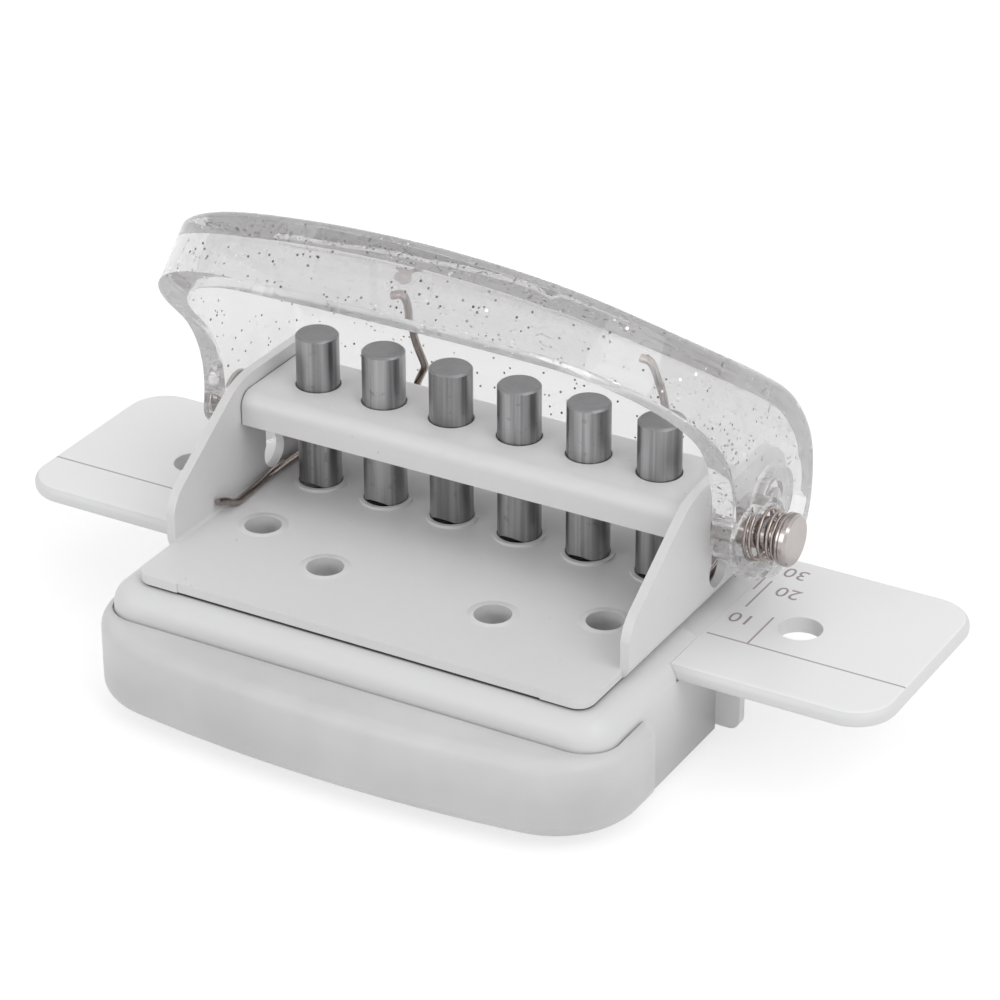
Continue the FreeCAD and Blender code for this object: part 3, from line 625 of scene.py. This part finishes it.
# %% Smooth copy of the hood
def joined(name, node, material, sharp):
    """A copy of a node with its triangles joined, smooth up to an angle in degrees,
    and the corners of those triangles."""
    source = nodes[node].data
    points = np.empty(len(source.vertices) * 3)
    source.vertices.foreach_get("co", points)
    corners = np.empty(len(source.loops), int)
    source.loops.foreach_get("vertex_index", corners)
    points, index = np.unique(points.reshape(-1, 3).round(7), axis=0, return_inverse=True)
    faces = index.reshape(-1)[corners].reshape(-1, 3)
    faces = faces[(faces != np.roll(faces, 1, 1)).all(1)]
    piece = as_piece(name, points, faces.tolist(), material, sharp)
    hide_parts(node)
    return piece, points[faces]


hood, hood_triangles = joined("clear_hood", "handle", clear, sharp=32)
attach(hood, "lever")
print("hood triangles:", len(hood_triangles))

# %% [markdown]
# ## Glitter in the hood
# Flakes of foil are mixed into the plastic before it is moulded. Each is a thin
# hexagon. Random triangles of the hood are picked in proportion to their area, a
# random point is taken on each, and a flake is put a little way in under it,
# tilted at random. The order of the draws is fixed by a seed. Most flakes are
# dark, and one in four catches the light.

# %% Where the flakes lie
def spots_under(triangles, count, shallow, deep, draw):
    """Points from shallow to deep under random places of a surface, and the outward
    direction at each. A place is (1 - r) a + r (1 - s) b + r s c, with r the root of
    an even draw, which spreads the places evenly over the triangle a, b, c."""
    a, b, c = triangles[:, 0], triangles[:, 1], triangles[:, 2]
    normal = np.cross(b - a, c - a)
    area = np.linalg.norm(normal, axis=1)
    pick = draw.choice(len(a), count, p=area / area.sum())
    outward = normal[pick] / area[pick][:, None]
    r, s = np.sqrt(draw.random(count))[:, None], draw.random(count)[:, None]
    spot = (1 - r) * a[pick] + r * (1 - s) * b[pick] + r * s * c[pick]
    return spot - outward * draw.uniform(shallow, deep, count)[:, None], outward


def hexagons(axis, low, high, draw):
    """For each axis, six corners round the origin, square to it, at a random turn
    and with a random radius from low to high."""
    side = np.cross(axis, draw.normal(size=axis.shape))
    side /= np.linalg.norm(side, axis=1)[:, None]
    other = np.cross(axis, side)
    turn = np.arange(6) * math.pi / 3
    size = draw.uniform(low, high, len(axis))[:, None, None]
    return size * (side[:, None] * np.cos(turn)[:, None] + other[:, None] * np.sin(turn)[:, None])


FLAKES = 1350
draw = np.random.default_rng(11)
spot, outward = spots_under(hood_triangles, FLAKES, 0.25 * MM, 0.9 * MM, draw)
tilt = outward + 0.3 * draw.normal(size=(FLAKES, 3))
tilt /= np.linalg.norm(tilt, axis=1)[:, None]
ring = hexagons(tilt, 0.12 * MM, 0.20 * MM, draw)
tone = np.where(draw.random(FLAKES) < 0.25, 1.0, 0.3 * draw.random(FLAKES))
print("flakes:", FLAKES, "of them bright:", int((tone == 1.0).sum()))

# %% [markdown]
# All flakes are one piece. A flake has twelve points, six below and six above,
# and its tone is kept on its points as an attribute that the material reads.

# %% Flakes as one piece
foil, shader, place = finish("foil_flakes")
shade = place.node("ShaderNodeAttribute", "Fac", {"attribute_name": "shade"})
feed(shader, "Base Color", shade.tint((0.03, 0.03, 0.03), (0.95, 0.95, 0.95)))
feed(shader, "Metallic", 1.0)
feed(shader, "Roughness", shade * 0.1 + 0.2)

thick = 0.01 * MM * tilt[:, None]
points = np.concatenate([spot[:, None] + ring - thick, spot[:, None] + ring + thick], 1)
first = np.arange(FLAKES)[:, None] * 12
k = np.arange(6)
walls = np.stack([k, (k + 1) % 6, (k + 1) % 6 + 6, k + 6], -1)
faces = (first + k[::-1]).tolist() + (first + k + 6).tolist()
faces += (first[:, None] + walls).reshape(-1, 4).tolist()
flakes = as_piece("hood_glitter", points.reshape(-1, 3), faces, foil)
shades = flakes.data.attributes.new("shade", "FLOAT", "POINT")
shades.data.foreach_set("value", np.repeat(tone, 12).astype(np.float32))
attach(flakes, "lever")
print("glitter faces:", len(faces))

# %% [markdown]
# ## Plain numbers beside the lines
# The guide lines carry plain numbers that face the person who puts the paper in,
# from behind. Each number starts as a text curve, becomes a mesh, and only then
# is turned and placed, so that the finished piece sits at the origin.

# %% Numbers
INK_DEPTH = 0.008
ink, shader, place = finish("ruler_ink")
feed(shader, "Base Color", noise(place, 3000, 2).tint((0.30, 0.26, 0.26), (0.40, 0.35, 0.35)))
feed(shader, "Roughness", 0.6)


def number_points(text, x, y, height):
    """Points and faces of a flat number with its top towards -Y and its middle at x, y (mm)."""
    curve = bpy.data.curves.new("digits", "FONT")
    curve.body = text
    curve.size = height * 1.4 * MM
    curve.align_x = "CENTER"
    curve.align_y = "CENTER"
    curve.extrude = INK_DEPTH * MM
    curve.resolution_u = 3
    drawn = into_scene("digits", curve)
    bpy.context.view_layer.update()
    flat = bpy.data.meshes.new_from_object(drawn)
    points = np.empty(len(flat.vertices) * 3)
    flat.vertices.foreach_get("co", points)
    faces = [list(face.vertices) for face in flat.polygons]
    bpy.data.objects.remove(drawn)
    half_turn = points.reshape(-1, 3) * [-1, -1, 1]
    return half_turn + np.array([x, y, TABLE + INK_DEPTH]) * MM, faces


all_points, all_faces = [], []
for text, x, y in (("10", 35.7, -1.2), ("20", 37.9, 6.9), ("30", 36.7, 11.6)):
    points, faces = number_points(text, x, y, height=2.3)
    offset = sum(len(earlier) for earlier in all_points)
    all_points.append(points)
    all_faces += [[offset + corner for corner in face] for face in faces]
numbers = as_piece("ruler_numbers", np.vstack(all_points), all_faces, ink)
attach(numbers, "base")
print("number faces:", len(all_faces))

# %% [markdown]
# ## Floor
# A plain white floor. What the camera, a reflection or a bent ray sees of it is
# partly its own white, so that it reads as paper white, and the rest is lit like
# any surface, so that the punch keeps its soft shadow.

# %% Floor
def seen(place):
    """1 for a ray from the camera, from a reflection or through glass, else 0."""
    straight, glossy, bent = (place.node("ShaderNodeLightPath", name) for name in
                              ("Is Camera Ray", "Is Glossy Ray", "Is Transmission Ray"))
    return straight.maths("MAXIMUM", glossy).maths("MAXIMUM", bent)


OWN_WHITE = 0.55
ground, shader, place = finish("floor_white")
feed(shader, "Base Color", (0.90, 0.90, 0.90))
feed(shader, "Roughness", 0.7)
feed(shader, "Specular IOR Level", 0.0)
glow = place.node("ShaderNodeEmission", Strength=1.25)
lit = Socket(place.tree, shader.outputs["BSDF"])
paper = place.node("ShaderNodeMixShader", i0=seen(place) * OWN_WHITE, i1=lit, i2=glow)
feed(place.tree.nodes["Material Output"], "Surface", paper)
u, v = np.meshgrid(np.linspace(-3, 3, 30), np.linspace(-3, 3, 30), indexing="ij")
floor = grid_piece("floor", np.stack([u, v, np.zeros_like(u)], -1), ground)
print("floor:", len(floor.data.polygons), "faces")

# %% [markdown]
# ## Light
# The world gives an even soft light, and is plain white for the camera and for
# reflections. Three wide lamps give the shapes their shading.

# %% World and lamps
SKY = 0.68
world = bpy.data.worlds.new("studio")
world.use_nodes = True
background = world.node_tree.nodes["Background"]
feed(background, "Color", (1, 1, 1))
feed(background, "Strength", seen(Socket(world.node_tree)) * (1 - SKY) + SKY)
bpy.context.scene.world = world


def softbox(name, place, aim, size, power):
    """A square area lamp at place that looks at aim; power is in watts."""
    data = bpy.data.lights.new(name, "AREA")
    data.size = size
    data.energy = power
    away = np.array(place, float) - np.array(aim, float)
    away /= np.linalg.norm(away)
    side = np.cross([0, 0, 1.0], away)
    side /= np.linalg.norm(side)
    stand_at(into_scene(name, data), side, np.cross(away, side), away, place)


softbox("key", (-0.35, -0.75, 0.45), (0, 0, 0.02), size=0.5, power=1.3)
softbox("fill", (0.65, -0.2, 0.65), (0, 0, 0.02), size=0.6, power=2.4)
softbox("top", (0.0, 0.25, 0.9), (0, 0, 0.02), size=0.6, power=0.8)
bpy.context.scene.view_settings.view_transform = "Standard"
